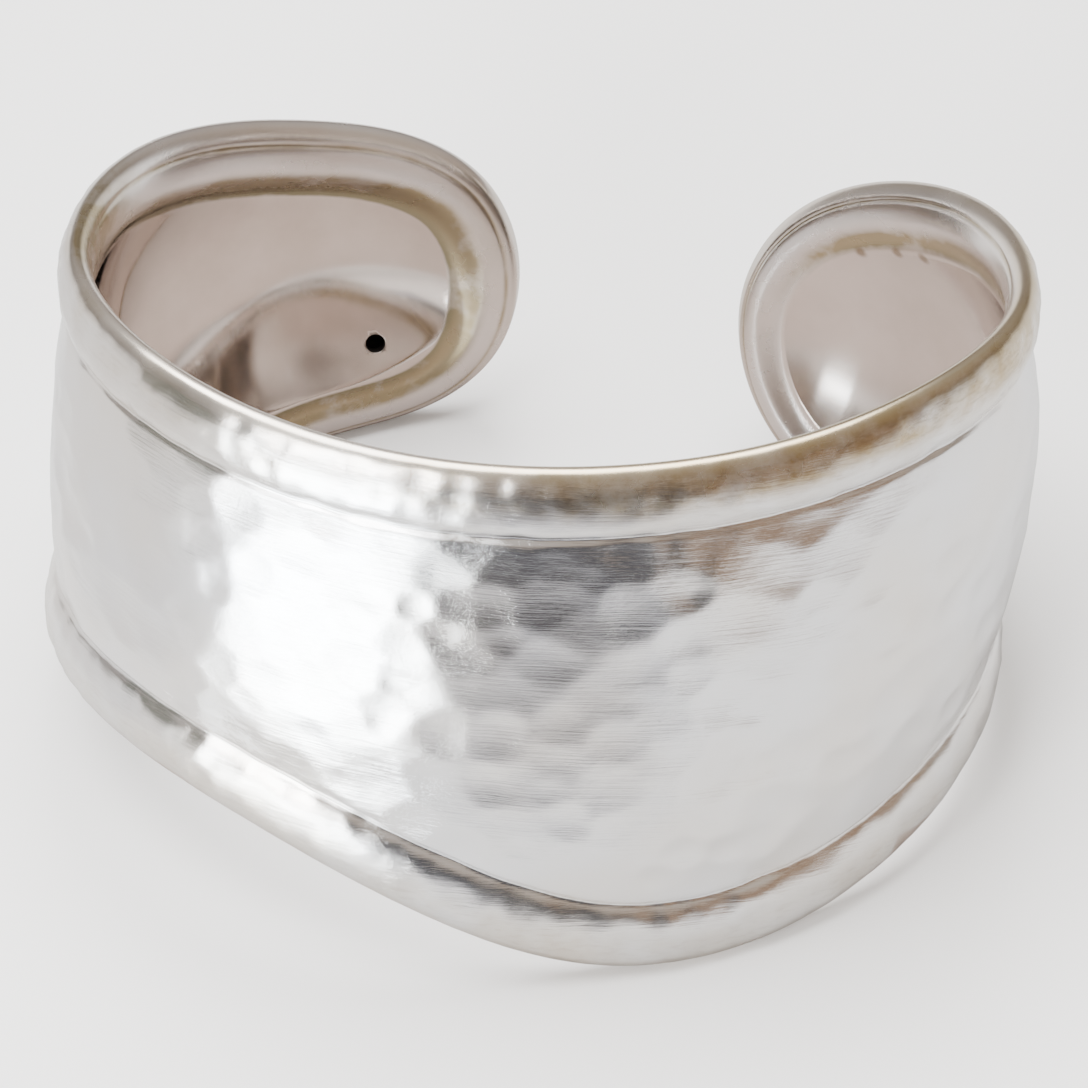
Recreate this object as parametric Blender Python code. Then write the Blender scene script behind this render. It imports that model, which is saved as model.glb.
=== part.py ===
import math

import bmesh
import bpy
import numpy as np
from mathutils import Matrix, Vector

# A hammered silver cuff bracelet, lying on its side with the wrist axis near vertical.
# The whole bracelet is one soldered piece: a bent wall with a raised rim all round.
# Metres, +Z up, the wide front towards -Y and the gap between the ends towards +Y.

# driving sizes
PLAN_HALF_WIDTH = 0.0300        # oval of the bend, seen along the wrist axis
PLAN_FRONT_DEPTH = 0.0212
PLAN_BACK_DEPTH = 0.0242
LEFT_ARM = 0.0808               # along the wall, from the front centre to each end
RIGHT_ARM = 0.0705
BAND_HALF_HEIGHT = 0.0150
RIM_WIDTH = 0.0055
RIM_THICKNESS = 0.0023
WALL_THICKNESS = 0.0012
WALL_BULGE = 0.0003             # how far the wall swells outward between its rims
END_DISH = 0.0013               # extra swell of the two rounded ends
DISH_REACH = 0.0085             # distance from the rim over which the swell builds up
GROOVE_DEPTH = 0.00012          # the crease on each side of the rim
VENT_DIAMETER = 0.0015          # small blind hole inside the left end
VENT_DEPTH = 0.0007

# shares of the arms and of the half height, clockwise seen from outside
OUTLINE = [
    # arm share, height share
    (-0.817, 0.852), (-0.668, 1.058), (-0.520, 1.133), (-0.371, 1.163), (-0.223, 1.137),
    (-0.074, 1.138), (0.085, 1.186), (0.255, 1.266), (0.426, 1.345), (0.596, 1.290),
    (0.738, 1.165), (0.868, 0.905), (0.957, 0.545), (1.000, 0.040), (0.973, -0.520),
    (0.885, -0.815), (0.738, -0.765), (0.596, -0.835), (0.426, -1.116), (0.255, -1.410),
    (0.085, -1.468), (-0.074, -1.230), (-0.223, -0.975), (-0.371, -0.905), (-0.500, -0.935),
    (-0.619, -0.972), (-0.730, -1.000), (-0.829, -0.902), (-0.921, -0.800), (-0.983, -0.520),
    (-1.000, 0.000),
    (-0.965, 0.460), (-0.898, 0.710),
]

# cross-section of the rim from its outer edge inwards, and into the wall
RIM_PROFILE = [
    # width share, rise share
    (0.000, 0.00), (0.045, 0.44), (0.130, 0.75), (0.270, 0.95), (0.450, 1.00),
    (0.630, 0.94), (0.800, 0.74), (0.930, 0.36),
]

# place of the vent hole inside the left end
VENT_ARM_SHARE = -0.879
VENT_HEIGHT_SHARE = -0.358

SIDE_STEPS = 84                 # steps along the wall between the two ends
WALL_ROWS = 8                   # rows across the wall between the rims
VENT_STEPS = 20


def clear_scene():
    for item in list(bpy.data.objects):
        bpy.data.objects.remove(item, do_unlink=True)


def closed_spline(points, per_span):
    """Smooth closed curve through the points, as an array of points."""
    n = len(points)
    loop = np.vstack([points, points[:1]])
    step = np.linalg.norm(np.diff(loop, axis=0), axis=1) ** 0.5
    m = np.zeros((n, n))
    rhs = np.zeros((n, 2))
    for i in range(n):
        before, after = step[i - 1], step[i]
        m[i, (i - 1) % n] += before
        m[i, i] += 2 * (before + after)
        m[i, (i + 1) % n] += after
        rhs[i] = 6 * ((loop[i + 1] - loop[i]) / after - (loop[i] - loop[i - 1 if i else n - 1]) / before)
    bend = np.linalg.solve(m, rhs)
    out = []
    for i in range(n):
        h = step[i]
        a, b = points[i], points[(i + 1) % n]
        ba, bb = bend[i], bend[(i + 1) % n]
        for k in range(per_span):
            t = k / per_span * h
            r = h - t
            out.append(ba * r ** 3 / (6 * h) + bb * t ** 3 / (6 * h)
                       + (a / h - ba * h / 6) * r + (b / h - bb * h / 6) * t)
    return np.array(out)


def even_steps(line, count):
    """Points at equal steps along an open line."""
    length = np.r_[0, np.cumsum(np.linalg.norm(np.diff(line, axis=0), axis=1))]
    at = np.linspace(0, length[-1], count + 1)
    return np.stack([np.interp(at, length, line[:, k]) for k in range(2)], axis=-1)


def outline_edges():
    """Top and bottom edge of the flattened band, both from the left end to the right end."""
    table = np.array(OUTLINE)
    arm = np.where(table[:, 0] < 0, LEFT_ARM, RIGHT_ARM)
    points = np.stack([table[:, 0] * arm, table[:, 1] * BAND_HALF_HEIGHT], axis=-1)
    line = closed_spline(points, 24)
    left, right = int(np.argmin(line[:, 0])), int(np.argmax(line[:, 0]))
    line = np.roll(line, -left, axis=0)
    right = (right - left) % len(line)
    top = line[:right + 1]
    bottom = np.vstack([line[right:], line[:1]])[::-1]
    return even_steps(top, SIDE_STEPS), even_steps(bottom, SIDE_STEPS)


def plan_table():
    """The bend as a table of arc length, place and outward direction."""
    turn = np.linspace(-1.12 * math.pi, 1.12 * math.pi, 2401)
    depth = np.where(np.cos(turn) > 0, PLAN_FRONT_DEPTH, PLAN_BACK_DEPTH)
    x, y = PLAN_HALF_WIDTH * np.sin(turn), -depth * np.cos(turn)
    arc = np.r_[0, np.cumsum(np.hypot(np.diff(x), np.diff(y)))]
    arc -= np.interp(0, turn, arc)
    tx, ty = np.gradient(x, arc), np.gradient(y, arc)
    size = np.hypot(tx, ty)
    return arc, x, y, ty / size, -tx / size


def bend(flat, lift, plan):
    """Carry flattened points onto the bend, lifted outward from the middle of the wall."""
    arc, x, y, nx, ny = plan
    s = flat[:, 0]
    ox, oy = np.interp(s, arc, nx), np.interp(s, arc, ny)
    return np.stack([np.interp(s, arc, x) + ox * lift, np.interp(s, arc, y) + oy * lift, flat[:, 1]], axis=-1)


def smooth_share(value):
    t = np.clip(value, 0, 1)
    return t * t * (3 - 2 * t)


def swell(flat, rim_line):
    """Outward swell of the middle of the wall: a little everywhere, more at the two ends."""
    gap = np.sqrt(((flat[:, None, :] - rim_line[None, :, :]) ** 2).sum(axis=2)).min(axis=1)
    build = 1 - (1 - np.clip(gap / DISH_REACH, 0, 1)) ** 2
    arm = np.where(flat[:, 0] < 0, LEFT_ARM, RIGHT_ARM)
    ends = smooth_share((np.abs(flat[:, 0]) / arm - 0.45) / 0.35)
    return build * (WALL_BULGE + END_DISH * ends)


def flat_rim():
    """Outer edge of the flattened band as a closed line, its inward directions and the rim's inner line."""
    top, bottom = outline_edges()
    loop = np.vstack([top, bottom[1:-1][::-1]])
    along = np.roll(loop, -1, axis=0) - np.roll(loop, 1, axis=0)
    along /= np.linalg.norm(along, axis=1)[:, None]
    inward = np.stack([along[:, 1], -along[:, 0]], axis=-1)
    return loop, inward, loop + inward * RIM_WIDTH


def band_mesh():
    """Vertices and faces of the closed band, with the outer and inner skins joined at the rim's edge."""
    plan = plan_table()
    loop, inward, rim_inner = flat_rim()
    n, count = SIDE_STEPS, len(loop)
    verts, faces = [], []

    def add(flat, lift):
        start = len(verts)
        verts.extend(bend(flat, lift, plan).tolist())
        return start

    edge = add(loop, np.zeros(count))
    for side in (1, -1):
        ring = edge
        rows = [(share, side * rise * RIM_THICKNESS / 2) for share, rise in RIM_PROFILE[1:]]
        rows.append((1.0, side * (WALL_THICKNESS / 2 - GROOVE_DEPTH)))
        for share, lift in rows:
            new = add(loop + inward * RIM_WIDTH * share, np.full(count, lift))
            for i in range(count):
                k = (i + 1) % count
                quad = (ring + i, ring + k, new + k, new + i)
                faces.append(quad if side < 0 else quad[::-1])
            ring = new
        # the wall: rows between the upper and the lower half of the rim
        ladder = np.full((n + 1, WALL_ROWS + 1), -1, dtype=int)
        for j in range(n + 1):
            ladder[j, 0] = ring + j
            ladder[j, WALL_ROWS] = ring + (count - j) % count
        flats, where = [], []
        for j in range(1, n):
            up, low = rim_inner[j], rim_inner[(count - j) % count]
            for k in range(1, WALL_ROWS):
                # the first and last rows hug the rim, so that the crease stays narrow
                share = 0.5 - 0.5 * math.cos(math.pi * k / WALL_ROWS)
                flats.append(up + (low - up) * share)
                where.append((j, k))
        flats = np.array(flats)
        start = add(flats, side * WALL_THICKNESS / 2 + swell(flats, rim_inner))
        for index, (j, k) in enumerate(where):
            ladder[j, k] = start + index
        ladder[0, 1:WALL_ROWS] = ladder[0, 0]
        ladder[n, 1:WALL_ROWS] = ladder[n, 0]
        for j in range(n):
            for k in range(WALL_ROWS):
                ring_quad = (ladder[j, k], ladder[j + 1, k], ladder[j + 1, k + 1], ladder[j, k + 1])
                face = []
                for v in ring_quad:
                    if int(v) not in face:
                        face.append(int(v))
                if len(face) > 2:
                    faces.append(tuple(face) if side < 0 else tuple(face[::-1]))
    return verts, faces


def vent_cutter():
    """A short rod that sinks the vent hole into the inner face of the left end."""
    plan = plan_table()
    flat = np.array([[VENT_ARM_SHARE * LEFT_ARM, VENT_HEIGHT_SHARE * BAND_HALF_HEIGHT]])
    lift = float(swell(flat, flat_rim()[2])[0]) - WALL_THICKNESS / 2
    arc, _, _, nx, ny = plan
    out = Vector((float(np.interp(flat[0, 0], arc, nx)), float(np.interp(flat[0, 0], arc, ny)), 0.0))
    face = Vector(bend(flat, lift, plan)[0])
    length = VENT_DEPTH + 3 * WALL_THICKNESS
    centre = face + out * (VENT_DEPTH - length / 2)
    bpy.ops.mesh.primitive_cylinder_add(vertices=VENT_STEPS, radius=VENT_DIAMETER / 2, depth=length)
    rod = bpy.context.active_object
    rod.name = "vent_rod"
    rod.matrix_world = Matrix.Translation(centre) @ out.to_track_quat("Z", "Y").to_matrix().to_4x4()
    return rod


def resting_turn(mesh_data):
    """Turn that lays the bracelet on the three points that carry it on a table."""
    bm = bmesh.new()
    bm.from_mesh(mesh_data)
    bmesh.ops.triangulate(bm, faces=bm.faces[:])
    volume, moment = 0.0, Vector((0, 0, 0))
    for face in bm.faces:
        a, b, c = (v.co for v in face.verts)
        part = a.dot(b.cross(c)) / 6
        volume += part
        moment += part * (a + b + c) / 4
    centre = moment / volume
    hull = bmesh.new()
    for v in bm.verts:
        hull.verts.new(v.co)
    bmesh.ops.convex_hull(hull, input=hull.verts[:])
    hull.normal_update()
    best, turn = None, Matrix.Identity(3)
    for face in hull.faces:
        if face.normal.z > -0.5 or len(face.verts) != 3:
            continue
        a, b, c = (v.co for v in face.verts)
        foot = centre + face.normal * face.normal.dot(a - centre)
        inside = min(face.normal.dot((q - p).cross(foot - p)) / max((q - p).length, 1e-9)
                     for p, q in ((a, b), (b, c), (c, a)))
        if best is None or inside > best:
            best = inside
            turn = face.normal.rotation_difference(Vector((0, 0, -1))).to_matrix()
    bm.free()
    hull.free()
    return turn


def silver():
    material = bpy.data.materials.new("silver")
    material.use_nodes = True
    shader = material.node_tree.nodes["Principled BSDF"]
    shader.inputs["Base Color"].default_value = (0.86, 0.85, 0.83, 1.0)
    shader.inputs["Metallic"].default_value = 1.0
    shader.inputs["Roughness"].default_value = 0.22
    return material


def build_band():
    verts, faces = band_mesh()
    mesh_data = bpy.data.meshes.new("cuff_band")
    mesh_data.from_pydata(verts, [], faces)
    band = bpy.data.objects.new("cuff_band", mesh_data)
    bpy.context.scene.collection.objects.link(band)
    bpy.context.view_layer.objects.active = band

    rod = vent_cutter()
    cut = band.modifiers.new("vent", "BOOLEAN")
    cut.operation = "DIFFERENCE"
    cut.solver = "EXACT"
    cut.object = rod
    bpy.context.view_layer.update()
    shaped = bpy.data.meshes.new_from_object(band.evaluated_get(bpy.context.evaluated_depsgraph_get()))
    band.modifiers.clear()
    band.data = shaped
    shaped.name = "cuff_band"
    bpy.data.objects.remove(rod, do_unlink=True)

    turn = resting_turn(shaped).to_4x4()
    shaped.transform(turn)
    low = [min(v.co[k] for v in shaped.vertices) for k in range(3)]
    high = [max(v.co[k] for v in shaped.vertices) for k in range(3)]
    shift = Vector((-(low[0] + high[0]) / 2, -(low[1] + high[1]) / 2, -low[2]))
    shaped.transform(Matrix.Translation(shift))
    shaped.materials.clear()
    shaped.materials.append(silver())
    return band


clear_scene()
build_band()
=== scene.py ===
import math

import bmesh
import bpy
import numpy as np
from mathutils import Matrix, Vector
from mathutils.kdtree import KDTree


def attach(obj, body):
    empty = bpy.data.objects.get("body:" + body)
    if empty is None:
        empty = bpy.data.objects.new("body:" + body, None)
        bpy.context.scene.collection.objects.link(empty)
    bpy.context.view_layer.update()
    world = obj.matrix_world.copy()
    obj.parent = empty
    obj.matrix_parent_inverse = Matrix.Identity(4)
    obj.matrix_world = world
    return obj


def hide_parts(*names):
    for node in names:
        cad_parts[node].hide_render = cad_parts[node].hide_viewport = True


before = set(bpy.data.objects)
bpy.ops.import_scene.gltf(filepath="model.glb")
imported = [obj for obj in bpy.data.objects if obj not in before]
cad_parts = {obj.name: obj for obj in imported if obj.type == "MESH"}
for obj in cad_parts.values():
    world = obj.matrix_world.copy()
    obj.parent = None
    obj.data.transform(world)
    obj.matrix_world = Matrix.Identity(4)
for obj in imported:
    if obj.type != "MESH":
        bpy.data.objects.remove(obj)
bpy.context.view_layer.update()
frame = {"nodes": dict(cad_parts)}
print("frame loaded:", ", ".join(frame["nodes"]))

# the cuff's own shape
# metres; the band is laid out flat (s along the wall, z across it), then bent and set down to rest
band = {
    "planHalfWidth": 0.0300,
    "planFrontDepth": 0.0212,
    "planBackDepth": 0.0242,
    "planTurn": 1.12,
    "planSteps": 4001,
    "leftArm": 0.0808,
    "rightArm": 0.0705,
    "halfHeight": 0.0150,
    "rimWidth": 0.0055,
    "rimThickness": 0.0023,
    "wallThickness": 0.0012,
    "thinnestWall": 0.0004,
    "wallBlend": 0.00025,
    "wallBulge": 0.00042,
    "bulgeReach": 0.0070,
    "rightBulge": 0.00020,
    "rightBulgeReach": (0.006, 0.022),
    "domeCurve": 45.0,
    "domeReach": (0.45, 0.80),
    "stepsAlong": 430,
    "outerRows": 96,
    "innerRows": 42,
    "rowCrowding": 0.06,
    "uvScale": 10.0,
    "uvShift": 0.5,
}

# the rim's section; places are shares of its width, counted from the edge
rim = {
    "crest": 0.45,
    "outerFall": 0.505,
    "outerSlope": 0.535,
    "roundness": 2.15,
    "valley": 0.00022,
    "valleyFloor": 0.0012,
    "groove": 0.00008,
    "grooveAt": 0.19,
    "grooveWidth": 0.028,
    "lowestCrease": 0.00047,
    "highestCrease": 0.96,
    "creaseBlend": 0.0001,
    # the last two rings outside: share and lift over the crease
    "creaseRings": {0.972: 0.00002, 1.0: 0.00012},
    "grooveRings": [0.135, 0.155, 0.172, 0.19, 0.208, 0.225, 0.254, 0.30, 0.35, 0.40, 0.45],
    "innerRings": 13,
}

# the hollow of the left end, as it was hammered: slopes and curvatures (1/m) about one point
leftDish = {
    "centre": (-0.0660, -0.0010),
    "lift": 0.00167,
    "slope": (0.114, 0.111),
    "curve": (17.7, 47.0),
    "twist": 5.6,
    "floor": -0.00100,
    "blend": 0.00015,
    "reach": (0.48, 0.66),
}

rightDish = {
    "lift": -0.00045,
    "curve": 48.0,
    "reach": (0.50, 0.74),
}

# arm share, height share, inner rim width in mm; clockwise seen from outside
outlineShares = [
    (-0.817, 0.852, 6.9), (-0.668, 1.058, 7.4), (-0.520, 1.133, 6.4), (-0.371, 1.163, 5.6),
    (-0.223, 1.137, 5.5), (-0.074, 1.138, 5.5), (0.085, 1.186, 5.5), (0.255, 1.266, 5.5),
    (0.426, 1.345, 5.5), (0.596, 1.290, 5.4), (0.738, 1.165, 5.1), (0.868, 0.905, 4.8),
    (0.957, 0.545, 3.9), (1.000, 0.040, 3.5), (0.973, -0.520, 3.7), (0.885, -0.815, 4.1),
    (0.738, -0.765, 4.7), (0.596, -0.835, 5.3), (0.426, -1.116, 5.5), (0.255, -1.410, 5.5),
    (0.085, -1.468, 5.5), (-0.074, -1.230, 5.5), (-0.223, -0.975, 5.5), (-0.371, -0.905, 5.5),
    (-0.500, -0.935, 5.3), (-0.619, -0.972, 4.9), (-0.730, -1.000, 4.5), (-0.829, -0.902, 4.1),
    (-0.921, -0.800, 4.1), (-0.983, -0.520, 4.5), (-1.000, 0.000, 4.9), (-0.965, 0.460, 5.3),
    (-0.898, 0.710, 6.1),
]

# how the bent band is turned and moved to lie on its three low points
resting = {
    "turn": ((0.99844879, -0.00684444, 0.05525544),
             (-0.00684444, 0.96980006, 0.24380516),
             (-0.05525544, -0.24380516, 0.96824890)),
    "move": (-0.00015142, 0.00040834, 0.01741019),
}

# the drilled hole in the left end's inner face
vent = {
    "place": (-0.07140, -0.00610),
    "diameter": 0.0013,
    "depth": 0.0009,
    "rodAbove": 0.002,
    # painted shade in the hole: black on its floor, partly dark on its wall
    "holeFloorShade": -1,
    "holeWallShade": -0.012,
}

# hammer marks: sizes in metres
hammer = {
    "seed": 7,
    "wallSpacing": 0.0025,
    "wallRadius": (0.0015, 0.0031),
    "wallDepth": (0.000030, 0.000190),
    "rimSpacing": 0.0015,
    "rimRadius": (0.0008, 0.0017),
    "rimDepth": (0.000030, 0.000140),
    "waveCell": 0.0075,
    "waveHeight": 0.00012,
    "scatter": 0.48,
    "ridge": 0.35,
    "bowlPower": 1.5,
    "rimBlend": 0.0006,
    "edgeFade": 0.0009,
    "lighterReach": (0.036, 0.056),
    "lighterBy": 0.5,
}


def closedSpline(points, perSpan):
    n = len(points)
    loop = np.vstack([points, points[:1]])
    step = np.linalg.norm(np.diff(loop, axis=0), axis=1) ** 0.5
    m, rhs = np.zeros((n, n)), np.zeros((n, 2))
    for i in range(n):
        before, after = step[i - 1], step[i]
        m[i, (i - 1) % n] += before
        m[i, i] += 2 * (before + after)
        m[i, (i + 1) % n] += after
        rhs[i] = 6 * ((loop[i + 1] - loop[i]) / after - (loop[i] - loop[(i - 1) % n]) / before)
    bendings = np.linalg.solve(m, rhs)
    out = []
    for i in range(n):
        h, a, b = step[i], points[i], points[(i + 1) % n]
        ba, bb = bendings[i], bendings[(i + 1) % n]
        for t in np.arange(perSpan) / perSpan * h:
            r = h - t
            out.append(ba * r ** 3 / (6 * h) + bb * t ** 3 / (6 * h)
                       + (a / h - ba * h / 6) * r + (b / h - bb * h / 6) * t)
    return np.array(out)


def evenSteps(line, count):
    length = np.r_[0, np.cumsum(np.linalg.norm(np.diff(line[:, :2], axis=0), axis=1))]
    at = np.linspace(0, length[-1], count + 1)
    return np.stack([np.interp(at, length, line[:, k]) for k in range(line.shape[1])], axis=-1)


def flatRim():
    # the edge of the flat band, its inward direction, and the inner rim's width at each step
    table, perSpan, smoothings = np.array(outlineShares), 60, 40
    arm = np.where(table[:, 0] < 0, band["leftArm"], band["rightArm"])
    line = closedSpline(np.stack([table[:, 0] * arm, table[:, 1] * band["halfHeight"]], axis=-1), perSpan)
    rows = np.arange(len(table) + 1)
    width = np.interp(np.arange(len(line)) / perSpan, rows, np.r_[table[:, 2], table[0, 2]]) * 0.001
    line = np.column_stack([line, width])
    left = int(np.argmin(line[:, 0]))
    line = np.roll(line, -left, axis=0)
    right = int(np.argmax(line[:, 0]))
    top = evenSteps(line[:right + 1], band["stepsAlong"])
    bottom = evenSteps(np.vstack([line[right:], line[:1]])[::-1], band["stepsAlong"])
    loop = np.vstack([top, bottom[1:-1][::-1]])
    width = loop[:, 2]
    for _ in range(smoothings):
        width = (np.roll(width, 1) + 2 * width + np.roll(width, -1)) / 4
    loop = loop[:, :2]
    along = np.roll(loop, -1, axis=0) - np.roll(loop, 1, axis=0)
    along /= np.linalg.norm(along, axis=1)[:, None]
    return loop, np.stack([along[:, 1], -along[:, 0]], axis=-1), width


def planTable():
    # the bent band seen from above: arc length from the front, place and outward direction
    reach = band["planTurn"] * math.pi
    turn = np.linspace(-reach, reach, band["planSteps"])
    depth = np.where(np.cos(turn) > 0, band["planFrontDepth"], band["planBackDepth"])
    x, y = band["planHalfWidth"] * np.sin(turn), -depth * np.cos(turn)
    arc = np.r_[0, np.cumsum(np.hypot(np.diff(x), np.diff(y)))]
    arc -= np.interp(0, turn, arc)
    tx, ty = np.gradient(x, arc), np.gradient(y, arc)
    size = np.hypot(tx, ty)
    return arc, x, y, ty / size, -tx / size


def bendBand(flat, lift, plan):
    arc, x, y, nx, ny = plan
    s = flat[:, 0]
    placed = np.stack([np.interp(s, arc, x) + np.interp(s, arc, nx) * lift,
                       np.interp(s, arc, y) + np.interp(s, arc, ny) * lift, flat[:, 1]], axis=-1)
    return placed @ np.array(resting["turn"]).T + np.array(resting["move"])


def nearestGap(flat, line):
    # distance to a closed line, and the number of the nearest stretch of it
    along = np.roll(line, -1, axis=0) - line
    size = (along ** 2).sum(axis=1)
    gap, number, chunk = np.empty(len(flat)), np.empty(len(flat), dtype=int), 3000
    for start in range(0, len(flat), chunk):
        part = flat[start:start + chunk]
        sx, sy = part[:, 0:1] - line[:, 0], part[:, 1:2] - line[:, 1]
        share = np.clip((sx * along[:, 0] + sy * along[:, 1]) / size, 0, 1)
        square = (sx - share * along[:, 0]) ** 2 + (sy - share * along[:, 1]) ** 2
        best = square.argmin(axis=1)
        number[start:start + chunk] = best
        gap[start:start + chunk] = np.sqrt(square[np.arange(len(part)), best])
    return gap, number


def smoothShare(value, low, high):
    t = np.clip((value - low) / (high - low), 0, 1)
    return t * t * (3 - 2 * t)


def softMax(first, second, blend):
    return (first + second + np.sqrt((first - second) ** 2 + blend * blend)) / 2


def chordRoom(flat, line):
    # how far a point is from the line above it times how far it is from the line below it
    n = band["stepsAlong"]
    up, low = line[:n + 1], np.vstack([line[n:], line[:1]])[::-1]
    above = np.interp(flat[:, 0], up[:, 0], up[:, 1]) - flat[:, 1]
    below = flat[:, 1] - np.interp(flat[:, 0], low[:, 0], low[:, 1])
    return np.clip(above, 0, 1) * np.clip(below, 0, 1)


def wallBulge(flat, line):
    # the wall is fullest away from the rims, and a little more on the right
    gap = nearestGap(flat, line)[0]
    rise = 1 - (1 - np.clip(gap / band["bulgeReach"], 0, 1)) ** 2
    return rise * (band["wallBulge"] + band["rightBulge"] * smoothShare(flat[:, 0], *band["rightBulgeReach"]))


def innerFloor(flat, innerLine):
    # lift of the wall's inner face, outwards positive; both ends are hollowed
    s = flat[:, 0]
    plain = wallBulge(flat, innerLine) - band["wallThickness"] / 2
    a, b = s - leftDish["centre"][0], flat[:, 1] - leftDish["centre"][1]
    slope, curve = leftDish["slope"], leftDish["curve"]
    left = (leftDish["lift"] + slope[0] * a + slope[1] * b
            - 0.5 * curve[0] * a * a - 0.5 * curve[1] * b * b + leftDish["twist"] * a * b)
    left = softMax(left, leftDish["floor"], leftDish["blend"])
    right = rightDish["lift"] + 0.5 * rightDish["curve"] * chordRoom(flat, innerLine)
    inLeft = smoothShare(-s / band["leftArm"], *leftDish["reach"])
    inRight = smoothShare(s / band["rightArm"], *rightDish["reach"])
    return plain * (1 - inLeft - inRight) + left * inLeft + right * inRight


def rimRise(share):
    # half round, a little fuller towards the edge, from the edge to the outer crease
    away = share - rim["crest"]
    t = np.where(away < 0, away / rim["crest"], away / rim["outerSlope"])
    return np.clip(1 - np.abs(t) ** rim["roundness"], 0, 1) ** 0.5


def innerRimLift(share, floor):
    # inside, the roll runs down in a soft curve to the floor of the hollow
    crest = band["rimThickness"] / 2
    t = np.clip((share - rim["crest"]) / (1 - rim["crest"]), 0, 1)
    drop = floor + crest
    valley = rim["valley"] * np.sin(math.pi * t) ** 2 * (1 - np.clip(drop / rim["valleyFloor"], 0, 1))
    down = -crest + drop * t * t * (3 - 2 * t) + valley
    # a fine groove sets the lip off from the roll
    groove = rim["groove"] * np.exp(-((share - rim["grooveAt"]) / rim["grooveWidth"]) ** 2)
    return np.where(share < rim["crest"], -rimRise(share) * crest, down) + groove


def outerWall(flat, outerLine, innerLine, loop, width, floorAtCrease):
    lift = band["wallThickness"] / 2 + wallBulge(flat, outerLine)
    leftShare, rightShare = -flat[:, 0] / band["leftArm"], flat[:, 0] / band["rightArm"]
    ends = smoothShare(leftShare, *band["domeReach"]) + smoothShare(rightShare, *band["domeReach"])
    lift = lift + 0.5 * band["domeCurve"] * chordRoom(flat, outerLine) * ends
    # never thinner than the sheet can be
    gap, number = nearestGap(flat, loop)
    share = gap / width[number]
    inner = np.where(share < 1, innerRimLift(share, floorAtCrease[number]), innerFloor(flat, innerLine))
    return softMax(lift, inner + band["thinnestWall"], band["wallBlend"])


def buildCuff():
    plan = planTable()
    loop, inward, innerWidth = flatRim()
    n, count = band["stepsAlong"], len(loop)
    crest = band["rimThickness"] / 2
    outerLine = loop + inward * band["rimWidth"]
    innerLine = loop + inward * innerWidth[:, None]
    floorAtCrease = innerFloor(innerLine, innerLine)
    # the outer crease lies a wall's thickness over the inner rim
    outerCrease = innerRimLift(band["rimWidth"] / innerWidth, floorAtCrease) + band["thinnestWall"]
    outerCrease = softMax(outerCrease, rim["lowestCrease"], rim["creaseBlend"])
    outerCrease = np.clip(outerCrease, rim["lowestCrease"], crest * rim["highestCrease"])
    angles = np.linspace(0, math.pi / 2, 8)[1:]
    shares = [rim["crest"] - rim["crest"] * math.cos(a) for a in angles]
    shares += [rim["crest"] + rim["outerFall"] * math.sin(a) for a in angles]
    innerShares = shares[:3] + rim["grooveRings"]
    innerShares += [rim["crest"] + (1 - rim["crest"]) * a for a in np.linspace(0, 1, rim["innerRings"])[1:]]
    flats, lifts, faces = [loop], [np.zeros(count)], []
    total = count
    for side in (1, -1):
        ring = 0
        line, width = (outerLine, np.full(count, band["rimWidth"])) if side > 0 else (innerLine, innerWidth)
        for share in (shares + list(rim["creaseRings"]) if side > 0 else innerShares):
            flats.append(loop + inward * (width * share)[:, None])
            if side < 0:
                lift = innerRimLift(np.full(count, share), floorAtCrease)
            elif share not in rim["creaseRings"]:
                rise = float(rimRise(np.array([share]))[0]) * crest
                lift = np.maximum(rise, outerCrease) if share > 0.6 else np.full(count, rise)
            else:
                lift = outerCrease + rim["creaseRings"][share]
            lifts.append(lift)
            new = total
            total += count
            i = np.arange(count)
            k = (i + 1) % count
            quads = np.stack([ring + i, ring + k, new + k, new + i], axis=-1)
            faces.extend((quads if side < 0 else quads[:, ::-1]).tolist())
            ring = new
        wallRows = band["outerRows"] if side > 0 else band["innerRows"]
        ladder = np.empty((n + 1, wallRows + 1), dtype=int)
        ladder[:, 0] = ring + np.arange(n + 1)
        ladder[:, wallRows] = ring + (count - np.arange(n + 1)) % count
        j = np.arange(1, n)
        up, low = line[j], line[(count - j) % count]
        share = np.linspace(0, 1, wallRows + 1)[1:-1]
        share = share - band["rowCrowding"] * np.sin(2 * math.pi * share)
        flat = (up[:, None, :] + (low - up)[:, None, :] * share[None, :, None]).reshape(-1, 2)
        flats.append(flat)
        lifts.append(outerWall(flat, outerLine, innerLine, loop, innerWidth, floorAtCrease) if side > 0
                     else innerFloor(flat, innerLine))
        ladder[1:n, 1:wallRows] = total + np.arange(len(flat)).reshape(n - 1, wallRows - 1)
        total += len(flat)
        ladder[0, 1:wallRows] = ladder[0, 0]
        ladder[n, 1:wallRows] = ladder[n, 0]
        for a in range(n):
            for b in range(wallRows):
                face = []
                for v in (ladder[a, b], ladder[a + 1, b], ladder[a + 1, b + 1], ladder[a, b + 1]):
                    if int(v) not in face:
                        face.append(int(v))
                if len(face) > 2:
                    faces.append(face if side < 0 else face[::-1])
        if side > 0:
            outsideCount = total
    flat, lift = np.vstack(flats), np.concatenate(lifts)
    outside = np.arange(total) < outsideCount
    outside[:count] = False
    depth, number = nearestGap(flat, loop)
    return flat, lift, faces, outside, depth, depth / innerWidth[number], innerLine, plan


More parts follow.
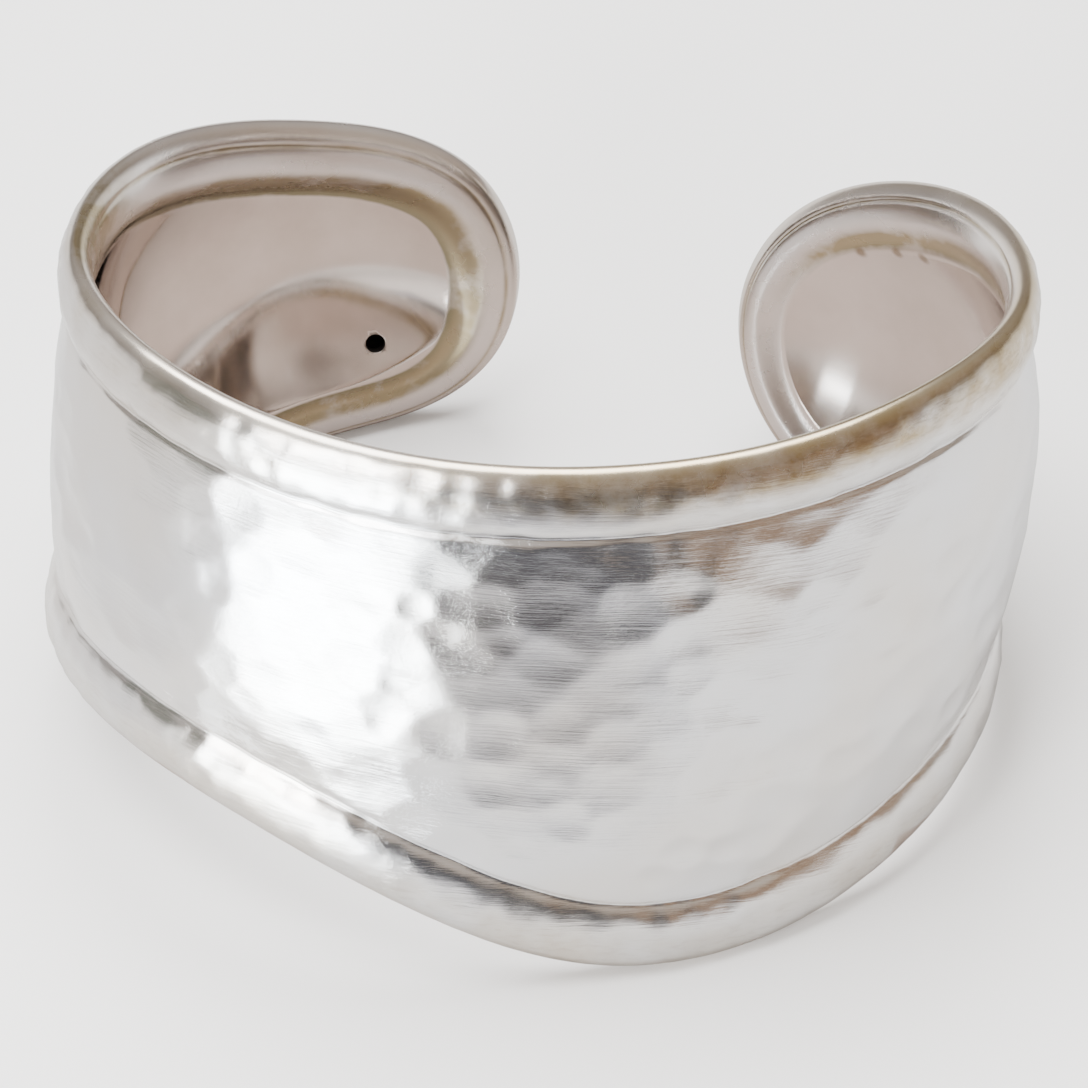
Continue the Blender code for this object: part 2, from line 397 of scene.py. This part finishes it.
def ventCutter(plan, innerLine):
    # a short round rod, square to the left end's inner face
    centre, step = np.array([vent["place"]]), 0.0002
    near = np.vstack([centre, centre + (step, 0), centre + (0, step)])
    face = bendBand(near, innerFloor(near, innerLine), plan)
    middle = Vector(face[0])
    out = Vector(face[1] - face[0]).cross(Vector(face[2] - face[0])).normalized()
    if out.dot(Vector(bendBand(centre, np.array([0.01]), plan)[0]) - middle) < 0:
        out = -out
    top, low = middle - out * vent["rodAbove"], middle + out * vent["depth"]
    rod = bmesh.new()
    turn = (top - low).to_track_quat("Z", "Y").to_matrix().to_4x4()
    bmesh.ops.create_cone(rod, cap_ends=True, segments=48, radius1=vent["diameter"] / 2,
                          radius2=vent["diameter"] / 2, depth=(top - low).length,
                          matrix=Matrix.Translation((top + low) / 2) @ turn)
    mesh = bpy.data.meshes.new("ventCutter")
    rod.to_mesh(mesh)
    rod.free()
    cutter = bpy.data.objects.new("ventCutter", mesh)
    bpy.context.scene.collection.objects.link(cutter)
    return cutter, low, out


def drillVent(cuff, cutter):
    drill = cuff.modifiers.new("vent", "BOOLEAN")
    drill.operation = "DIFFERENCE"
    drill.solver = "EXACT"
    drill.object = cutter
    drilled = bpy.data.meshes.new_from_object(cuff.evaluated_get(bpy.context.evaluated_depsgraph_get()))
    cuff.modifiers.clear()
    cuff.data = drilled
    bpy.data.objects.remove(cutter)


def paintFinishAndShade(mesh, places, shares, low, out):
    # written after the drilling, by place; the hole's floor is painted black and its wall partly dark:
    # painted shade
    nearest = KDTree(len(places))
    for number, place in enumerate(places):
        nearest.insert(place, number)
    nearest.balance()
    slack, reach, mouth = 0.00002, vent["diameter"] * 0.51, vent["depth"] + 0.0003
    painted = np.empty((len(mesh.vertices), 3), dtype=np.float32)
    for number, point in enumerate(mesh.vertices):
        away = point.co - low
        up = -away.dot(out)
        painted[number] = shares[nearest.find(point.co)[1]]
        if (away + out * up).length < reach and -slack < up < mouth:
            painted[number] = (vent["holeFloorShade"] if up < slack else vent["holeWallShade"], 0, 0)
    # the attribute carries the finish together with painted shade and painted reflection
    finishAndShade = mesh.attributes.new("finishAndShade", "FLOAT_VECTOR", "POINT")
    finishAndShade.data.foreach_set("vector", painted.ravel())


def softWave(flat, cell, seed):
    # smooth lattice noise, -1 to 1
    rng = np.random.default_rng(seed)
    grid = rng.uniform(-1, 1, (64, 64))
    at = flat / cell + 32
    base = np.floor(at).astype(int)
    f = at - base
    f = f * f * (3 - 2 * f)
    i, j = base[:, 0] % 63, base[:, 1] % 63
    low = grid[i, j] * (1 - f[:, 0]) + grid[i + 1, j] * f[:, 0]
    high = grid[i, j + 1] * (1 - f[:, 0]) + grid[i + 1, j + 1] * f[:, 0]
    return low * (1 - f[:, 1]) + high * f[:, 1]


def dentField(flat, spacing, radii, depths, seed):
    # each blow leaves a shallow bowl; where two meet, the deeper one wins and a soft ridge stays
    rng = np.random.default_rng(seed)
    s0, s1 = flat[:, 0].min() - spacing, flat[:, 0].max() + spacing
    z0, z1 = flat[:, 1].min() - spacing, flat[:, 1].max() + spacing
    across, up = int((s1 - s0) / spacing) + 1, int((z1 - z0) / spacing) + 1
    centres = np.stack(np.meshgrid(np.arange(across), np.arange(up), indexing="ij"), axis=-1)
    centres = centres.reshape(-1, 2).astype(float)
    centres += rng.uniform(-hammer["scatter"], hammer["scatter"], centres.shape)
    centres = centres * spacing + (s0, z0)
    radius = rng.uniform(*radii, len(centres))
    depth = rng.uniform(*depths, len(centres))
    out = np.zeros(len(flat))
    order, chunk = np.argsort(flat[:, 0]), 1500
    for start in range(0, len(order), chunk):
        pick = order[start:start + chunk]
        part = flat[pick]
        near = (centres[:, 0] > part[:, 0].min() - radii[1]) & (centres[:, 0] < part[:, 0].max() + radii[1])
        if not near.any():
            continue
        c, r, d = centres[near], radius[near], depth[near]
        dist = ((part[:, None, :] - c[None, :, :]) ** 2).sum(axis=2) / (r * r)[None, :]
        bowl = d[None, :] * np.clip(1 - dist, 0, 1) ** hammer["bowlPower"]
        top = np.sort(bowl, axis=1)[:, -2:] if bowl.shape[1] > 1 else bowl
        out[pick] = top[:, -1] + hammer["ridge"] * top[:, 0]
    return -out


def hammerLift(flat, outside, depth):
    # the hammer works the outside only; the blows on the rim are smaller and closer
    onRim = np.clip((band["rimWidth"] - depth) / hammer["rimBlend"], 0, 1)
    seed = hammer["seed"]
    wall = dentField(flat, hammer["wallSpacing"], hammer["wallRadius"], hammer["wallDepth"], seed)
    blows = dentField(flat, hammer["rimSpacing"], hammer["rimRadius"], hammer["rimDepth"], seed + 1)
    wave = softWave(flat, hammer["waveCell"], seed + 2) * hammer["waveHeight"]
    # lighter blows towards the thin, domed ends
    wall = wall * (1 - hammer["lighterBy"] * smoothShare(np.abs(flat[:, 0]), *hammer["lighterReach"]))
    fade = np.clip(depth / hammer["edgeFade"], 0, 1)
    return np.where(outside, (wall * (1 - onRim) + blows * onRim + wave * (1 - onRim)) * fade, 0.0)


# wear, tarnish, painted shade and painted reflection: how strong, then where it sets in and where it is full
# places are metres along or across the flat band, or shares of the rim's width
wearAndPaintedShade = {
    "middle": (0.22, 0.030, 0.044),
    "rightHollow": (0.12, 0.040, 0.050),
    "roll": (0.60, 0.80, 1.02),
    "brass": (0.65, -0.014, 0.010),
    "brassEverywhere": 0.35,
    "upperRim": (-0.003, 0.003),
    "cleanEnds": (0.5, 0.036, 0.050),
    "cleanOuterHalf": (0.7, 0.42, 0.68),
    "rimBlend": 0.0008,
    "edgeBlend": 0.0009,
    "edge": 0.5,
    "leftCreaseShade": (1.5, 0.40, 0.66),
    "creaseEnd": (0.96, 1.0),
    "toRight": (-0.008, 0.030),
    # strength, centre, width
    "rightCreaseShade": (1.7, 0.80, 0.15),
    "rightUpper": (0.000, 0.008),
    "groove": (0.9, 0.19, 0.03),
    "leftTurnReflection": (1.4, 0.034, 0.038),
    "leftTurnReflectionEnd": (0.044, 0.052),
    "leftTurnReflectionDepth": (1.00, 1.15),
}


def finishAndShadeShares(flat, outside, depth, innerShare):
    # x: outside 1, inside 0 where it is smoothest; y: tarnish and painted warm reflection on the rim, inside
    # painted shade by the creases and patina in the groove; z: on its very edge
    s, z = flat[:, 0], flat[:, 1]

    def ramp(name, value):
        return wearAndPaintedShade[name][0] * smoothShare(value, *wearAndPaintedShade[name][1:])

    def bell(name):
        return wearAndPaintedShade[name][0] * np.exp(-((innerShare - wearAndPaintedShade[name][1]) / wearAndPaintedShade[name][2]) ** 2)

    worn = wearAndPaintedShade["middle"][0] - ramp("middle", np.abs(s))
    worn = np.maximum(worn, ramp("rightHollow", s))
    worn = np.maximum(worn, wearAndPaintedShade["roll"][0] - ramp("roll", innerShare))
    # the brass cast, partly tarnish and partly painted warm reflection, is strongest on the upper rim's right
    # half, and weak at the ends
    brass = wearAndPaintedShade["brassEverywhere"] + ramp("brass", s) * smoothShare(z, *wearAndPaintedShade["upperRim"])
    brass = brass * (1 - ramp("cleanEnds", np.abs(s)))
    # it is heaviest on the half of the rim next to the lip
    nearLip = 1 - ramp("cleanOuterHalf", depth / band["rimWidth"])
    onRim = np.clip((band["rimWidth"] - depth) / wearAndPaintedShade["rimBlend"], 0, 1) * brass * nearLip
    # inside, painted shade gathers by the creases; the fine groove holds patina
    toRight = smoothShare(s, *wearAndPaintedShade["toRight"])
    # painted shade by the right end's upper crease
    rightEndShade = bell("rightCreaseShade") * smoothShare(z, *wearAndPaintedShade["rightUpper"])
    creaseShadeAndPatina = ramp("leftCreaseShade", innerShare) * (1 - toRight) + rightEndShade * toRight
    creaseShadeAndPatina = creaseShadeAndPatina * (1 - smoothShare(innerShare, *wearAndPaintedShade["creaseEnd"]))
    creaseShadeAndPatina = np.maximum(creaseShadeAndPatina, bell("groove"))
    # a painted dark brown reflection where the left arm turns in
    leftTurnReflection = ramp("leftTurnReflection", -s) * (1 - smoothShare(-s, *wearAndPaintedShade["leftTurnReflectionEnd"]))
    leftTurnReflection = leftTurnReflection * (z > 0) * (1 - smoothShare(innerShare, *wearAndPaintedShade["leftTurnReflectionDepth"]))
    creaseShadeAndPatina = np.maximum(creaseShadeAndPatina, leftTurnReflection)
    onEdge = np.clip(1 - depth / wearAndPaintedShade["edgeBlend"], 0, 1)
    return np.stack([np.where(outside, 1.0, worn) * (1 - onEdge) + wearAndPaintedShade["edge"] * onEdge,
                     np.where(outside, onRim, creaseShadeAndPatina), onEdge * brass], axis=-1)


flat, lift, faces, outside, depth, innerShare, innerLine, plan = buildCuff()
lift = lift + hammerLift(flat, outside, depth)
places = bendBand(flat, lift, plan)
cuffMesh = bpy.data.meshes.new("silverCuff")
cuffMesh.from_pydata(places.tolist(), [], faces)
cuffMesh.update()
cuffMesh.polygons.foreach_set("use_smooth", [True] * len(cuffMesh.polygons))
uvLayer = cuffMesh.uv_layers.new(name="bandFlat")
corner = np.empty(len(cuffMesh.loops), dtype=np.int32)
cuffMesh.loops.foreach_get("vertex_index", corner)
uvPlaces = flat[corner] * band["uvScale"] + band["uvShift"]
uvLayer.data.foreach_set("uv", uvPlaces.astype(np.float32).ravel())
cuff = bpy.data.objects.new("silverCuff", cuffMesh)
bpy.context.scene.collection.objects.link(cuff)
cutter, low, out = ventCutter(plan, innerLine)
drillVent(cuff, cutter)
cuffMesh = cuff.data
paintFinishAndShade(cuffMesh, places, finishAndShadeShares(flat, outside, depth, innerShare), low, out)
triangles = sum(len(f.vertices) - 2 for f in cuffMesh.polygons)
print("cuff mesh:", len(cuffMesh.vertices), "points,", triangles, "triangles")

# silver: satin outside, smoother inside and toned darker and warmer there as painted shade and reflection,
# warmer on the rims
silverLook = {
    "coolTone": (0.82, 0.825, 0.84, 1),
    "warmTone": (0.80, 0.76, 0.71, 1),
    # darker and warmer than the outside: painted shade and warm reflection inside the band, mottled at random
    "insideShadedTone": (0.65, 0.58, 0.535, 1),
    "insideShadedMottle": (0.55, 0.475, 0.43, 1),
    # tarnish with painted warm reflection on the rims' outside
    "rimTarnishAndReflection": (0.46, 0.37, 0.235, 1),
    # painted shade by the inner creases, also the groove's patina
    "creaseShadeTone": (0.225, 0.21, 0.14, 1),
    "speckTone": (0.20, 0.145, 0.085, 1),
    # tarnish with painted warm reflection on the very edge
    "edgeTarnishAndReflection": (0.47, 0.37, 0.215, 1),
    # painted shade: near black for the drilled hole
    "holeShadeTone": (0.02, 0.017, 0.015, 1),
    "patches": (75.0, 3.0, 0.5),
    "patchRange": (0.42, 0.72),
    "mottles": (140.0, 5.0, 0.6),
    "mottleRange": (0.35, 0.68),
    "tarnishAndShadeNoise": (260.0, 7.0, 0.65),
    "tarnishRange": (0.38, 0.60),
    "tarnishLeast": 0.40,
    "streakScale": (90.0, 300.0, 1.0),
    "streaks": (1.0, 4.0, 0.6),
    "streakRange": (0.50, 0.70),
    "streakShare": 0.45,
    "workedRange": (0.7, 1.0),
    "edgeShare": 0.8,
    "holeShadeRange": (-0.03, -0.002),
    "outsideRough": (0.11, 0.21),
    "insideRough": (0.06, 0.10),
    "rubs": (240.0, 5.0, 0.5),
    "rubRange": (0.3, 0.7),
    "wornRough": 0.55,
    "tarnishRough": 0.10,
    "holeShadeRough": 1.4,
    "grainAcross": 0.6,
    "grainTurn": 0.25,
    "bumpDistance": 0.00005,
    "scratchScale": (13.0, 380.0, 1.0),
    "scratchTurn": 3,
    "scratches": (1.0, 6.0, 0.7),
    "scratchStrength": 0.45,
    "pits": (1500.0, 3.0, 0.6),
    "pitStrength": 0.20,
    # three dark solder pits along the crease of the right end, in the flat band
    "solderPits": [(0.0618, 0.0079), (0.0588, 0.0094), (0.0565, 0.0102)],
    "solderPitSize": 0.00055,
    "solderPitShare": 0.85,
}


def feed(tree, value, socket):
    # a link from another socket, or a plain value
    if isinstance(value, bpy.types.NodeSocket):
        tree.links.new(value, socket)
    else:
        socket.default_value = value


def calculate(tree, operation, first, second, clamp=False):
    node = tree.nodes.new("ShaderNodeMath")
    node.operation = operation
    node.use_clamp = clamp
    feed(tree, first, node.inputs[0])
    feed(tree, second, node.inputs[1])
    return node.outputs[0]


def multiply(tree, first, second):
    return calculate(tree, "MULTIPLY", first, second)


def mapRange(tree, source, lowHigh, toLow=0.0, toHigh=1.0):
    node = tree.nodes.new("ShaderNodeMapRange")
    for name, value in zip(("From Min", "From Max", "To Min", "To Max"), (*lowHigh, toLow, toHigh)):
        node.inputs[name].default_value = value
    feed(tree, source, node.inputs["Value"])
    return node.outputs["Result"]


def mixTone(tree, share, first, second, blend="MIX"):
    node = tree.nodes.new("ShaderNodeMix")
    node.data_type = "RGBA"
    node.blend_type = blend
    feed(tree, share, node.inputs[0])
    feed(tree, first, node.inputs[6])
    feed(tree, second, node.inputs[7])
    return node.outputs[2]


def noiseOf(tree, vector, look):
    # look: scale, detail, roughness
    node = tree.nodes.new("ShaderNodeTexNoise")
    for name, value in zip(("Scale", "Detail", "Roughness"), look):
        node.inputs[name].default_value = value
    feed(tree, vector, node.inputs["Vector"])
    return node.outputs["Fac"]


def stretched(tree, vector, scale, turn=0):
    node = tree.nodes.new("ShaderNodeMapping")
    node.inputs["Scale"].default_value = scale
    node.inputs["Rotation"].default_value = (0, 0, math.radians(turn))
    feed(tree, vector, node.inputs["Vector"])
    return node.outputs["Vector"]


def bumpOf(tree, height, strength, under=None):
    node = tree.nodes.new("ShaderNodeBump")
    node.inputs["Distance"].default_value = silverLook["bumpDistance"]
    feed(tree, strength, node.inputs["Strength"])
    feed(tree, height, node.inputs["Height"])
    if under is not None:
        feed(tree, under, node.inputs["Normal"])
    return node.outputs["Normal"]


def silverTone(tree, place, flatPlace, outer, onRim, onEdge, worked, holeShade, rest):
    # soft warm patches, then a brassy cast on the rims and the edge, partly tarnish and partly painted warm
    # reflection; inside, painted shade by the creases
    look = silverLook
    patch = mapRange(tree, noiseOf(tree, place, look["patches"]), look["patchRange"])
    tone = mixTone(tree, patch, look["coolTone"], look["warmTone"])
    mottle = mapRange(tree, noiseOf(tree, place, look["mottles"]), look["mottleRange"])
    # the inside faces carry painted shade and warm reflection
    inside = mixTone(tree, mottle, look["insideShadedTone"], look["insideShadedMottle"])
    tone = mixTone(tree, outer, inside, tone)
    tarnishAndShadeNoise = noiseOf(tree, place, look["tarnishAndShadeNoise"])
    tarnishAndShadeNoise = mapRange(tree, tarnishAndShadeNoise, look["tarnishRange"], look["tarnishLeast"])
    brass = mixTone(tree, outer, look["creaseShadeTone"], look["rimTarnishAndReflection"])
    tone = mixTone(tree, multiply(tree, tarnishAndShadeNoise, onRim), tone, brass)
    # dark streaks along the rim's outside
    streak = noiseOf(tree, stretched(tree, flatPlace, look["streakScale"]), look["streaks"])
    speck = mapRange(tree, streak, look["streakRange"], 0.0, look["streakShare"])
    speck = multiply(tree, multiply(tree, speck, onRim), worked)
    tone = mixTone(tree, speck, tone, look["speckTone"])
    # the very edge: tarnish and painted warm reflection
    tone = mixTone(tree, multiply(tree, onEdge, look["edgeShare"]), tone, look["edgeTarnishAndReflection"])
    # the drilled hole painted black: painted shade
    tone = mixTone(tree, holeShade, tone, look["holeShadeTone"])
    size = look["solderPitSize"] * band["uvScale"]
    for pitPlace in look["solderPits"]:
        gap = tree.nodes.new("ShaderNodeVectorMath")
        gap.operation = "DISTANCE"
        gap.inputs[1].default_value = (*(c * band["uvScale"] + band["uvShift"] for c in pitPlace), 0)
        feed(tree, flatPlace, gap.inputs[0])
        pit = mapRange(tree, gap.outputs["Value"], (size * 0.4, size), look["solderPitShare"], 0.0)
        tone = mixTone(tree, multiply(tree, pit, rest), tone, look["speckTone"])
    return tone


def silverRoughness(tree, place, outer, onRim, worked, holeShade, rest):
    # rubbed and dull spots; dullest where the inside is half worn: its middle and the rolled rim
    look = silverLook
    rub = noiseOf(tree, place, look["rubs"])
    rough = tree.nodes.new("ShaderNodeMix")
    feed(tree, outer, rough.inputs[0])
    feed(tree, mapRange(tree, rub, look["rubRange"], *look["insideRough"]), rough.inputs[2])
    feed(tree, mapRange(tree, rub, look["rubRange"], *look["outsideRough"]), rough.inputs[3])
    dull = rough.outputs[0]
    halfWorn = multiply(tree, outer, rest)
    tarnished = multiply(tree, worked, onRim)
    # the drilled hole is also made matte under its painted shade
    for share, more in ((halfWorn, "wornRough"), (tarnished, "tarnishRough"), (holeShade, "holeShadeRough")):
        dull = calculate(tree, "ADD", dull, multiply(tree, share, look[more]))
    return dull


def silverMaterial():
    look = silverLook
    mat = bpy.data.materials.new("hammeredSilver")
    mat.use_nodes = True
    tree = mat.node_tree
    shader = tree.nodes["Principled BSDF"]
    shader.inputs["Metallic"].default_value = 1.0
    place = tree.nodes.new("ShaderNodeTexCoord").outputs["Object"]
    flatMap = tree.nodes.new("ShaderNodeUVMap")
    flatMap.uv_map = "bandFlat"
    flatPlace = flatMap.outputs["UV"]
    # finish with painted shade and painted reflection, written per point
    finishAndShade = tree.nodes.new("ShaderNodeAttribute")
    finishAndShade.attribute_name = "finishAndShade"
    parts = tree.nodes.new("ShaderNodeSeparateXYZ")
    feed(tree, finishAndShade.outputs["Vector"], parts.inputs["Vector"])
    outer, onRim, onEdge = parts.outputs
    worked = mapRange(tree, outer, look["workedRange"])
    # where the painted shade of the drilled hole lies
    holeShade = mapRange(tree, outer, look["holeShadeRange"], 1.0, 0.0)
    rest = calculate(tree, "SUBTRACT", 1.0, outer, clamp=True)
    tone = silverTone(tree, place, flatPlace, outer, onRim, onEdge, worked, holeShade, rest)
    feed(tree, tone, shader.inputs["Base Color"])
    dull = silverRoughness(tree, place, outer, onRim, worked, holeShade, rest)
    feed(tree, dull, shader.inputs["Roughness"])
    # the satin grain runs along the band, so the shine is drawn out across it
    grain = tree.nodes.new("ShaderNodeTangent")
    grain.direction_type = "UV_MAP"
    grain.uv_map = "bandFlat"
    feed(tree, grain.outputs["Tangent"], shader.inputs["Tangent"])
    shader.inputs["Anisotropic"].default_value = look["grainAcross"]
    shader.inputs["Anisotropic Rotation"].default_value = look["grainTurn"]
    # fine scratches that run along the band, then tiny pits, on the outside
    along = stretched(tree, flatPlace, look["scratchScale"], look["scratchTurn"])
    scratches, pits = noiseOf(tree, along, look["scratches"]), noiseOf(tree, place, look["pits"])
    scratched = bumpOf(tree, scratches, multiply(tree, worked, look["scratchStrength"]))
    pitted = bumpOf(tree, pits, multiply(tree, worked, look["pitStrength"]), scratched)
    feed(tree, pitted, shader.inputs["Normal"])
    return mat


cuffMesh.materials.clear()
cuffMesh.materials.append(silverMaterial())
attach(cuff, "root")
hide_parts("cuff_band")
print("silver on")

# floor, light, camera
studio = {
    "floorSize": 3.0,
    "floorTone": (0.90, 0.895, 0.89, 1),
    "floorRough": 0.32,
    "skyLow": (0.30, 0.265, 0.24, 1),
    "skyMiddle": (0.66, 0.61, 0.57, 1),
    "skyTop": (0.88, 0.87, 0.86, 1),
    "warmCast": (1.0, 0.86, 0.72, 1),
    "warmSide": (0.80, -0.60, 0.0),
    "skyStrength": 0.86,
    # where the three sky colours lie, from the horizon up
    "skySteps": (0.02, 0.30, 0.85),
    "warmRange": (-0.1, 0.9),
    # name, place, aim, width, height, power
    "panels": [
        ("windowLeft", (-0.34, -0.53, 0.24), (0, 0, 0.02), 0.30, 0.42, 7.0),
        ("topSoft", (-0.10, 0.16, 0.60), (0, 0, 0.0), 0.55, 0.45, 11.5),
    ],
    # low screens that only the polished metal sees: ends on the floor, height, tone
    "screens": [
        ("darkScreen", (-0.030, -0.108), (0.048, -0.100), 0.042, (0.028, 0.027, 0.030, 1)),
        ("brownScreen", (0.048, -0.100), (0.125, -0.050), 0.046, (0.15, 0.095, 0.06, 1)),
        ("leftScreen", (-0.152, -0.040), (-0.126, -0.086), 0.052, (0.10, 0.105, 0.09, 1)),
    ],
    # the window's glare on the table, again only in the metal
    "glare": [(-0.044, -0.038), (-0.019, -0.049), (-0.057, -0.160), (-0.132, -0.111)],
    "glareHeight": 0.0006,
    "glareTone": (0.90, 0.97, 1.0, 1),
    "glareStrength": 20.0,
    # the metal sees a duller table than the camera does: name, tone, height over the floor, corners
    "shades": [
        ("dullTable", (0.56, 0.555, 0.55, 1), 0.0002, [(-1, -1), (1, -1), (1, 1), (-1, 1)]),
        ("frontShade", (0.27, 0.27, 0.285, 1), 0.0004,
         [(-0.010, -0.052), (0.011, -0.052), (0.021, -0.078), (-0.018, -0.078)]),
        ("sideShade", (0.40, 0.395, 0.40, 1), 0.0004,
         [(0.011, -0.052), (0.021, -0.051), (0.038, -0.078), (0.021, -0.078)]),
        ("farShade", (0.11, 0.105, 0.11, 1), 0.0004,
         [(-0.018, -0.078), (0.026, -0.078), (0.040, -0.104), (-0.030, -0.108)]),
        ("leftShade", (0.43, 0.42, 0.415, 1), 0.0004,
         [(-0.046, -0.030), (-0.046, 0.060), (-0.40, 0.30), (-0.40, -0.16)]),
        ("innerShade", (0.40, 0.345, 0.315, 1), 0.0004,
         [(-0.027, -0.016), (0.027, -0.016), (0.027, 0.026), (-0.027, 0.026)]),
    ],
    "dullRough": 0.9,
}


def plainMaterial(name, tone, rough):
    mat = bpy.data.materials.new(name)
    mat.use_nodes = True
    shader = mat.node_tree.nodes["Principled BSDF"]
    shader.inputs["Base Color"].default_value = tone
    shader.inputs["Roughness"].default_value = rough
    return mat


def flatSheet(name, corners, mat):
    mesh = bpy.data.meshes.new(name)
    mesh.from_pydata(corners, [], [(0, 1, 2, 3)])
    mesh.materials.append(mat)
    sheet = bpy.data.objects.new(name, mesh)
    bpy.context.scene.collection.objects.link(sheet)
    return sheet


def paleFloor():
    half = studio["floorSize"] / 2
    flatSheet("paleFloor", [(-half, -half, 0), (half, -half, 0), (half, half, 0), (-half, half, 0)],
              plainMaterial("palePaper", studio["floorTone"], studio["floorRough"]))


def mirroredSheet(name, corners, mat):
    # seen in the polished metal, not by the camera, and without a shadow
    sheet = flatSheet(name, corners, mat)
    sheet.visible_camera = sheet.visible_diffuse = sheet.visible_shadow = False


def lowScreens():
    for name, start, end, height, tone in studio["screens"]:
        mirroredSheet(name, [(*start, 0), (*end, 0), (*end, height), (*start, height)],
                      plainMaterial(name, tone, studio["dullRough"]))


def tableShades():
    for name, tone, height, corners in studio["shades"]:
        mirroredSheet(name, [(x, y, height) for x, y in corners],
                      plainMaterial(name, tone, studio["dullRough"]))


def tableGlare():
    mat = bpy.data.materials.new("glare")
    mat.use_nodes = True
    shader = mat.node_tree.nodes["Principled BSDF"]
    shader.inputs["Base Color"].default_value = (0, 0, 0, 1)
    shader.inputs["Emission Color"].default_value = studio["glareTone"]
    shader.inputs["Emission Strength"].default_value = studio["glareStrength"]
    mirroredSheet("tableGlare", [(x, y, studio["glareHeight"]) for x, y in studio["glare"]], mat)


def softPanel(name, place, aim, width, height, power):
    lamp = bpy.data.lights.new(name, "AREA")
    lamp.shape = "RECTANGLE"
    lamp.size, lamp.size_y = width, height
    lamp.energy = power
    panel = bpy.data.objects.new(name, lamp)
    bpy.context.scene.collection.objects.link(panel)
    panel.location = place
    panel.rotation_euler = (Vector(aim) - Vector(place)).to_track_quat("-Z", "Y").to_euler()


def studioWorld():
    world = bpy.data.worlds.new("softRoom")
    bpy.context.scene.world = world
    world.use_nodes = True
    tree = world.node_tree
    place = tree.nodes.new("ShaderNodeTexCoord").outputs["Generated"]
    split = tree.nodes.new("ShaderNodeSeparateXYZ")
    feed(tree, place, split.inputs["Vector"])
    ramp = tree.nodes.new("ShaderNodeValToRGB")
    steps, (low, middle, high) = ramp.color_ramp.elements, studio["skySteps"]
    steps[0].position, steps[0].color = low, studio["skyLow"]
    steps[1].position, steps[1].color = high, studio["skyTop"]
    steps.new(middle).color = studio["skyMiddle"]
    feed(tree, split.outputs["Z"], ramp.inputs["Fac"])
    # the room is warmer to the right
    facing = tree.nodes.new("ShaderNodeVectorMath")
    facing.operation = "DOT_PRODUCT"
    facing.inputs[1].default_value = studio["warmSide"]
    feed(tree, place, facing.inputs[0])
    share = mapRange(tree, facing.outputs["Value"], studio["warmRange"])
    cast = mixTone(tree, share, (1, 1, 1, 1), studio["warmCast"])
    back = tree.nodes["Background"]
    feed(tree, mixTone(tree, 1.0, ramp.outputs["Color"], cast, "MULTIPLY"), back.inputs["Color"])
    back.inputs["Strength"].default_value = studio["skyStrength"]


paleFloor()
lowScreens()
tableShades()
tableGlare()
studioWorld()
for panel in studio["panels"]:
    softPanel(*panel)

view = {
    "place": (0.03034829, -0.38150291, 0.49243113),
    "aim": (0.00066584, -0.00249301, 0.01502507),
    "roll": -0.9567,
    "lens": 314.3,
    "sensor": 36.0,
    "clip": (0.01, 20.0),
}
camera = bpy.data.cameras.new("photoCamera")
camera.lens = view["lens"]
camera.sensor_width = view["sensor"]
camera.clip_start, camera.clip_end = view["clip"]
cameraObject = bpy.data.objects.new("photoCamera", camera)
bpy.context.scene.collection.objects.link(cameraObject)
look = (Vector(view["aim"]) - Vector(view["place"])).to_track_quat("-Z", "Y").to_matrix()
look = look @ Matrix.Rotation(math.radians(view["roll"]), 3, "Z")
cameraObject.matrix_world = Matrix.Translation(Vector(view["place"])) @ look.to_4x4()
bpy.context.scene.camera = cameraObject
print("studio ready")
